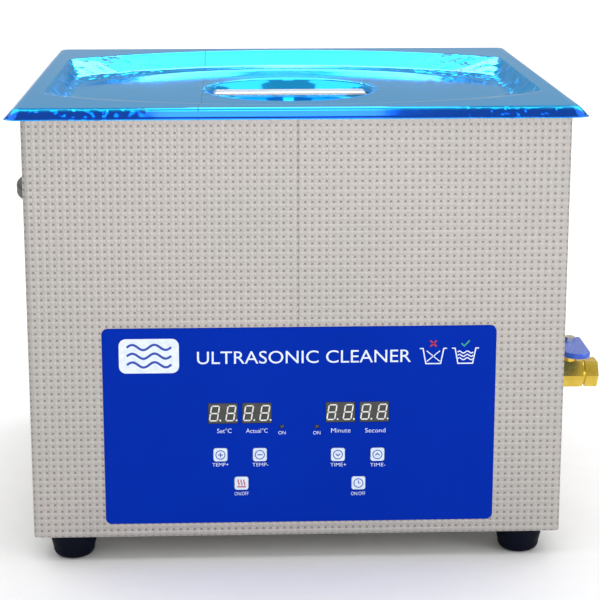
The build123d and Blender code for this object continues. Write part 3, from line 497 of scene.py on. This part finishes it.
text_piece("panel_title", [("ULTRASONIC CLEANER", 3.9, 132.6, 135.4, 8.3, -0.001)], PRINT_WHITE, "case",
           PANEL_Y)
text_piece("panel_labels", [
    ("Set°C", -47.0, 86.8, 9.2, 3.0, -0.008),
    ("Actual°C", -26.3, 86.7, 13.8, 3.0, -0.008),
    ("ON", -10.3, 85.4, 4.6, 2.3, -0.008),
    ("ON", 11.9, 85.1, 4.6, 2.3, -0.008),
    ("Minute", 27.3, 86.2, 12.4, 2.9, -0.008),
    ("Second", 49.4, 86.0, 13.0, 2.9, -0.008),
    ("TEMP+", -49.7, 64.4, 10.4, 2.3, -0.008),
    ("TEMP-", -24.2, 64.1, 10.2, 2.3, -0.008),
    ("ON/OFF", -36.4, 44.6, 9.0, 2.4, -0.008),
    ("TIME+", 25.8, 63.4, 10.2, 2.3, -0.008),
    ("TIME-", 51.2, 63.0, 9.8, 2.3, -0.008),
    ("ON/OFF", 38.7, 43.6, 9.2, 2.4, -0.008),
], PRINT_WHITE, "case", PANEL_Y)


def rounded_box(x0, x1, z0, z1, r, count=6):
    loop = []
    centres = ((x1 - r, z1 - r), (x0 + r, z1 - r), (x0 + r, z0 + r), (x1 - r, z0 + r))
    for quarter, (cx, cz) in enumerate(centres):
        start = quarter / 2
        loop += circle(cx, cz, r, count, start * math.pi, (start + 0.5) * math.pi)
    return loop


def wave(x, z, length, rise, steps, width):
    """A line of two full waves that starts at x."""
    path = [(x + length * t / steps, z + rise * math.sin(t / steps * 4 * math.pi)) for t in range(steps + 1)]
    return stroke(path, width)


# A plain tag with three waves.
tag = rounded_box(-113.0, -75.2, 127.0, 149.5, 4.5)
print_piece("panel_tag", [tag], PRINT_WHITE, "case", PANEL_Y)
waves = []
for level in (132.6, 138.3, 144.0):
    waves += wave(-108.0, level, 28.0, 1.7, 32, 1.5)
print_piece("panel_tag_waves", waves, PRINT_BLUE, "case", PANEL_Y - PRINT_T)


def tank_sign(x, z):
    """Open trapezoid tank with a rim at each side."""
    return stroke([(x - 8.6, z + 10.6), (x - 6.6, z + 10.6), (x - 4.7, z + 0.6), (x + 4.7, z + 0.6),
                   (x + 6.6, z + 10.6), (x + 8.6, z + 10.6)], 0.75)


signs = tank_sign(85.8, 130.8) + tank_sign(106.2, 130.8)
signs += stroke([(81.6, 139.8), (90.0, 132.8)], 0.6) + stroke([(90.0, 139.8), (81.6, 132.8)], 0.6)
for level in (134.4, 136.6, 138.8):
    signs += wave(101.2, level, 10.0, 0.7, 16, 0.7)
print_piece("panel_signs", signs, PRINT_WHITE, "case", PANEL_Y)
cross = stroke([(83.8, 146.6), (87.8, 142.6)], 0.9) + stroke([(83.8, 142.6), (87.8, 146.6)], 0.9)
print_piece("panel_cross", cross, PRINT_RED, "case", PANEL_Y)
tick = stroke([(103.6, 144.6), (105.4, 142.8), (108.8, 146.4)], 0.9)
print_piece("panel_tick", tick, PRINT_GREEN, "case", PANEL_Y)


# ---------------------------------------------------------------- digit segments
DIGIT_W, DIGIT_H, DIGIT_LEAN = 5.8, 10.6, 0.16
DIGIT_SHIFTS = (-5.4, 5.0)


def digit(x, z):
    """Seven slanted bars and a point, all in the pale grey of unlit segments."""
    w, h, t, gap = DIGIT_W, DIGIT_H, 0.85, 0.2

    def lean_over(loop):
        return [(px + (pz - z) * DIGIT_LEAN, pz) for px, pz in loop]

    loops = []
    for level in (-1, 0, 1):
        zc = z + level * (h - t) / 2
        x0, x1 = x - w / 2 + t * 0.5 + gap, x + w / 2 - t * 0.5 - gap
        loops.append(lean_over([(x0 + t / 2, zc - t / 2), (x1 - t / 2, zc - t / 2), (x1, zc),
                                (x1 - t / 2, zc + t / 2), (x0 + t / 2, zc + t / 2), (x0, zc)]))
    for side in (-1, 1):
        xc = x + side * (w - t) / 2
        for half in (-1, 1):
            z0, z1 = sorted((z + half * gap, z + half * ((h - t) / 2 - gap)))
            loops.append(lean_over([(xc, z0), (xc + t / 2, z0 + t / 2), (xc + t / 2, z1 - t / 2), (xc, z1),
                                    (xc - t / 2, z1 - t / 2), (xc - t / 2, z0 + t / 2)]))
    loops.append(circle(x + w / 2 + 0.75, z - h / 2 + 0.6, 0.6, 12))
    return loops


for name in ("display_set_temp", "display_actual_temp", "display_minutes", "display_seconds"):
    low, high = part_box(name)
    mid_x, mid_z = (low.x + high.x) / 2 / MM, (low.z + high.z) / 2 / MM
    loops = [loop for shift in DIGIT_SHIFTS for loop in digit(mid_x + shift, mid_z)]
    print_piece(name + "_digits", loops, SEGMENT, "case", low.y / MM, 0.05)


# ---------------------------------------------------------------- key signs
def key_sign(name, kind):
    low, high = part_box(name)
    x, z, y = (low.x + high.x) / 2 / MM, (low.z + high.z) / 2 / MM, low.y / MM
    loops = stroke(circle(x, z, 2.9), 0.55, closed=True) if kind != "heat" else []
    mat = PRINT_RED if kind == "heat" else PRINT_BLUE
    if kind in ("plus", "minus"):
        loops += stroke([(x - 1.6, z), (x + 1.6, z)], 0.65)
    if kind == "plus":
        loops += stroke([(x, z + 0.34), (x, z + 1.6)], 0.65) + stroke([(x, z - 0.34), (x, z - 1.6)], 0.65)
    if kind in ("down", "up"):
        turn = -1 if kind == "down" else 1
        loops += stroke([(x - 1.4, z - 0.6 * turn), (x, z + 0.8 * turn), (x + 1.4, z - 0.6 * turn)], 0.65)
    if kind == "clock":
        loops += stroke([(x, z + 1.8), (x, z), (x + 1.3, z)], 0.5)
    if kind == "heat":
        loops += stroke([(x - 2.8, z - 2.3), (x + 2.8, z - 2.3)], 0.8)
        for dx in (-1.8, 0.0, 1.8):
            curl = [(x + dx + 0.35 * math.sin(t / 8 * 2 * math.pi), z - 1.3 + 3.9 * t / 8) for t in range(9)]
            loops += stroke(curl, 0.7)
    print_piece(name + "_sign", loops, mat, name + "_body", y, 0.05)


for name, kind in (("key_temp_up", "plus"), ("key_temp_down", "minus"), ("key_heater_onoff", "heat"),
                   ("key_time_up", "down"), ("key_time_down", "up"), ("key_timer_onoff", "clock")):
    key_sign(name, kind)


# ---------------------------------------------------------------- lid
LID_TOP, DISH_FLOOR, SHEET = 296.0, 285.4, 1.0
EDGE_X, EDGE_Y = 172.4, 159.9  # where the flat top starts to turn down
AROUND = 640  # points to a ring
CORNER_SHARP = 60.0
CREASE_HEIGHT, CREASE_LIMIT = 0.085, 0.25  # of one wave of the creases, and over the flat top


def rect_radius(turn, half_x, half_y, r):
    """Distance to a rounded rectangle's edge in a direction."""
    c, s = abs(math.cos(turn)), abs(math.sin(turn))
    reach = min(half_x / max(c, 1e-9), half_y / max(s, 1e-9))
    x, y = reach * c, reach * s
    cx, cy = half_x - r, half_y - r
    if x > cx and y > cy:
        along = cx * c + cy * s
        return along + math.sqrt(max(along * along - (cx * cx + cy * cy - r * r), 0.0))
    return reach


def barrel_radius(turn, half_x, side_y, mid_y):
    """Distance to an outline with straight sides and bulging front and back arcs."""
    c, s = abs(math.cos(turn)), abs(math.sin(turn))
    bulge = mid_y - side_y
    big = (half_x * half_x + bulge * bulge) / (2 * bulge)
    centre = mid_y - big
    along = centre * s
    arc = along + math.sqrt(along * along - centre * centre + big * big)
    side = half_x / max(c, 1e-9)
    # A soft minimum rounds the corner where the side meets the arc.
    return (side ** -CORNER_SHARP + arc ** -CORNER_SHARP) ** (-1 / CORNER_SHARP)


# Directions of a ring's points. More of them go near the corners.
corner_turn = math.atan2(160.0, 172.0)
turns = []
for quarter in range(4):
    start = quarter * math.pi / 2
    cut = corner_turn if quarter % 2 == 0 else math.pi / 2 - corner_turn
    n = AROUND // 4
    for k in range(n):
        f = k / n
        # Half of the samples go on each side of the corner, closer together near it.
        if f < 0.5:
            turns.append(start + cut * (1 - (1 - f * 2) ** 1.5))
        else:
            turns.append(start + cut + (math.pi / 2 - cut) * ((f - 0.5) * 2) ** 1.5)


def ring_curve(shape):
    kind, args = shape[0], shape[1:]
    if kind == "circle":
        return np.array([args[0] for t in turns])
    if kind == "barrel":
        return np.array([barrel_radius(t, *args) for t in turns])
    return np.array([rect_radius(t, *args) for t in turns])


# The dish's outlines: half length, then half depth at its sides and in its middle.
FLOOR_SHAPE, RIM_SHAPE = np.array([149.0, 24.0, 107.0]), np.array([162.0, 95.5, 147.5])


def dish_wall(part, rise, rings):
    """An outline part of the way from the dish's floor to its rim, at a share of its height."""
    shape = FLOOR_SHAPE + (RIM_SHAPE - FLOOR_SHAPE) * part
    return ("barrel", *shape), DISH_FLOOR + (LID_TOP - DISH_FLOOR) * rise, rings


# Outlines from the middle out: (shape, height, rings from the outline before it).
profile = [
    (("circle", 0.5), 273.6, 1),
    (("circle", 47.0), 273.6, 4),
    (("circle", 51.0), 274.6, 3),
    (("circle", 56.4), 283.4, 6),
    (("circle", 57.4), 284.8, 3),
    (("circle", 59.6), 285.6, 3),
    (("circle", 62.0), 285.5, 2),
    (("barrel", 144.0, 22.0, 102.0), 285.4, 14),
    dish_wall(0.0, 0.0, 2),
    dish_wall(0.08, 0.008, 2),
    dish_wall(0.16, 0.032, 2),
    dish_wall(0.29, 0.100, 3),
    dish_wall(0.40, 0.158, 3),
    dish_wall(0.44, 0.190, 2),
    dish_wall(0.50, 0.270, 2),
    dish_wall(0.70, 0.556, 5),
    dish_wall(0.90, 0.842, 5),
    dish_wall(0.95, 0.925, 2),
    dish_wall(0.975, 0.970, 1),
    dish_wall(1.0, 1.0, 2),
    (("rect", EDGE_X, EDGE_Y, 4.0), LID_TOP, 10),
    (("rect", 173.9, 161.4, 5.2), 295.6, 3),
    (("rect", 174.8, 162.3, 6.0), 294.8, 3),
    (("rect", 178.2, 165.7, 8.0), 291.2, 5),
    (("rect", 178.9, 166.4, 8.5), 290.1, 3),
    (("rect", 180.0, 167.5, 9.0), 289.6, 2),
]
cos_t = np.array([math.cos(t) for t in turns])
sin_t = np.array([math.sin(t) for t in turns])
rng = np.random.default_rng(7)


def ramp(value, low, high):
    return np.clip((value - low) / (high - low), 0, 1)


def crease_weight(x, y, height):
    """How bunched the film is: at the dish wall's ends, the skirt's corners and the finger cup's ends."""
    far = np.hypot(x, y)
    side, back = np.abs(x), np.abs(y)
    on_wall = ramp(height, 285.45, 286.0) * (far > 64) * (1 - ramp(height, 295.5, 296.0)) * (side < 163)
    wall = on_wall * ramp(side, 88.0, 128.0)
    past_edge = np.maximum(side - EDGE_X, back - EDGE_Y)
    skirt = ramp(past_edge, 0.0, 2.0) * ramp(side, 156.0, 174.0) * ramp(back, 140.0, 160.0)
    cup = (far > 50) * (far < 61) * ramp(side, 47.0, 55.0)
    return np.maximum(np.maximum(0.8 * wall, 0.7 * skirt), 0.8 * cup)


def painted_skirt_reflection(x, y, height):
    """How deep the film's blue is painted: a painted darker reflection deepens it on the skirt, with only a
    fifth of it on the skirt's lowest rings, which leaves a painted lighter edge line there.
    """
    beyond = np.maximum(np.abs(x) / 174.6, np.abs(y) / 162.1)
    return ramp(beyond, 1.0, 1.0025) * (0.2 + 0.8 * (height > 289.9))


WAVES = 8
crease_phase = rng.uniform(0, 2 * math.pi, 2 * WAVES)


def film_height(x, y, weight):
    """Soft creases in the film, running outwards at the corners."""
    turn = np.arctan2(y, x)
    radius = np.hypot(x, y)
    total = np.zeros_like(x)
    for k in range(WAVES):
        phase = turn * (26 + 9 * k) + crease_phase[k] + radius * (0.02 + 0.013 * k)
        total += np.sin(phase) / (1 + 0.5 * k)
    for k in range(WAVES):
        phase = radius * (0.18 + 0.05 * k) + turn * (14 + k) + crease_phase[WAVES + k]
        total += 0.5 * np.sin(phase) / (1 + 0.3 * k)
    return CREASE_HEIGHT * total * weight


top_rings = []
for index, (shape, height, steps) in enumerate(profile):
    if index == 0:
        top_rings.append((ring_curve(shape), np.full(AROUND, height)))
        continue
    before = profile[index - 1]
    r0, r1 = ring_curve(before[0]), ring_curve(shape)
    for k in range(1, steps + 1):
        f = k / steps
        top_rings.append((r0 + (r1 - r0) * f, np.full(AROUND, before[1] + (height - before[1]) * f)))

under_profile = [
    (("rect", 179.2, 166.7, 8.6), 289.6),
    (("rect", 173.2, 160.7, 5.0), 294.6),
    (("rect", 171.5, 159.0, 4.0), LID_TOP - SHEET),
]
for part, rise in ((1.0, 1.0), (0.7, 0.556), (0.44, 0.19), (0.16, 0.032), (0.0, 0.0)):
    shape, height, _ = dish_wall(part, rise, 1)
    under_profile.append((shape, height - SHEET))
under_profile += [(("circle", 60.0), 284.4), (("circle", 58.6), 283.6), (("circle", 53.4), 273.2),
                  (("circle", 50.0), 272.4), (("circle", 0.5), 272.4)]
points, faces, crease, deep = [], [], [], []
for radius, height in top_rings:
    x, y = radius * cos_t, radius * sin_t
    weight = crease_weight(x, y, height)
    z = np.minimum(height + film_height(x, y, weight), LID_TOP + CREASE_LIMIT)
    crease.extend(weight)
    # The deep values hold a painted darker reflection on the skirt and a painted lighter line on its lowest
    # rings.
    deep.extend(painted_skirt_reflection(x, y, height))
    points.extend(zip(x * MM, y * MM, z * MM))
for shape, height in under_profile:
    radius = ring_curve(shape)
    x, y = radius * cos_t, radius * sin_t
    crease.extend(np.zeros(AROUND))
    # The underside takes the full painted darker reflection.
    deep.extend(np.ones(AROUND))
    points.extend(zip(x * MM, y * MM, np.full(AROUND, height * MM)))
ring_total = len(top_rings) + len(under_profile)
for ring in range(ring_total - 1):
    a, b = ring * AROUND, (ring + 1) * AROUND
    for k in range(AROUND):
        m = (k + 1) % AROUND
        faces.append((a + k, b + k, b + m, a + m))
faces.append(tuple(range(AROUND)))
last = (ring_total - 1) * AROUND
faces.append(tuple(last + k for k in reversed(range(AROUND))))
lid = mesh_piece("lid_shell", points, faces, M["lid_film"], "lid_body")
point_values(lid, "crease", crease)
point_values(lid, "deep", deep)
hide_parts("lid")


# ---------------------------------------------------------------- stage, light, camera
def stage_floor():
    size = 14.0
    mesh = bpy.data.meshes.new("floor")
    corners = [(-size, -size, 0), (size, -size, 0), (size, size, 0), (-size, size, 0)]
    mesh.from_pydata(corners, [], [(0, 1, 2, 3)])
    made = bpy.data.objects.new("floor", mesh)
    bpy.context.scene.collection.objects.link(made)
    mesh.materials.append(surface("floor_paper", (0.9, 0.9, 0.9), (0.88, 0.88, 0.88), rough=(0.6, 0.7),
                                  bump=0.0, specular=0.2))
    made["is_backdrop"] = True


def area_light(name, place, target, size, radiance):
    data = bpy.data.lights.new(name, "AREA")
    data.shape = "RECTANGLE"
    data.size, data.size_y = size
    data.energy = radiance * math.pi * size[0] * size[1]
    made = bpy.data.objects.new(name, data)
    made.location = place
    made.rotation_euler = (Vector(target) - Vector(place)).to_track_quat("-Z", "Y").to_euler()
    bpy.context.scene.collection.objects.link(made)


stage_floor()
# Name, place, the point it faces, size and radiance.
for light in (
    ("left_panel", (-2.9, 2.1, 3.2), (-2.9, 2.1, 0.0), (3.4, 7.0), 1.5),
    ("right_panel", (2.9, 2.1, 3.2), (2.9, 2.1, 0.0), (3.4, 7.0), 1.5),
    ("overhead", (0.0, 0.5, 3.2), (0.0, 0.5, 0.0), (2.4, 1.4), 1.5),
    ("back_box", (0.14, 2.81, 3.25), (0.0, 0.12, 0.29), (0.95, 2.0), 2.1),
    ("streak", (0.12, 3.66, 2.14), (0.0, 0.12, 0.29), (0.60, 0.70), 6.0),
    ("skirt_box", (0.04, -0.9, 3.2), (0.04, -0.9, 0.0), (0.54, 0.85), 4.5),
    ("front_fill", (0.1, -3.0, 0.35), (0.05, 0.0, 0.15), (1.3, 0.6), 4.6),
    ("right_fill", (2.4, -1.6, 1.0), (0.15, 0.0, 0.1), (1.2, 1.4), 4.0),
):
    area_light(*light)

world = bpy.data.worlds.new("studio")
world.use_nodes = True
world.node_tree.nodes["Background"].inputs["Color"].default_value = (1.0, 1.0, 1.0, 1.0)
world.node_tree.nodes["Background"].inputs["Strength"].default_value = 0.6
bpy.context.scene.world = world
bpy.context.scene.view_settings.view_transform = "Standard"

CAMERA_PLACE, CAMERA_DOWN, CAMERA_TURN = (-0.0394, -1.2255, 0.4521), 12.65, -2.18  # metres, degrees
camera_data = bpy.data.cameras.new("camera")
camera_data.sensor_width = 36.0
camera_data.lens = 105.4
camera_data.shift_y = -0.1
camera_data.clip_end = 100.0
camera = bpy.data.objects.new("camera", camera_data)
camera.location = CAMERA_PLACE
camera.rotation_euler = (math.radians(90 - CAMERA_DOWN), 0.0, math.radians(CAMERA_TURN))
bpy.context.scene.collection.objects.link(camera)
bpy.context.scene.camera = camera

low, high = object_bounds()
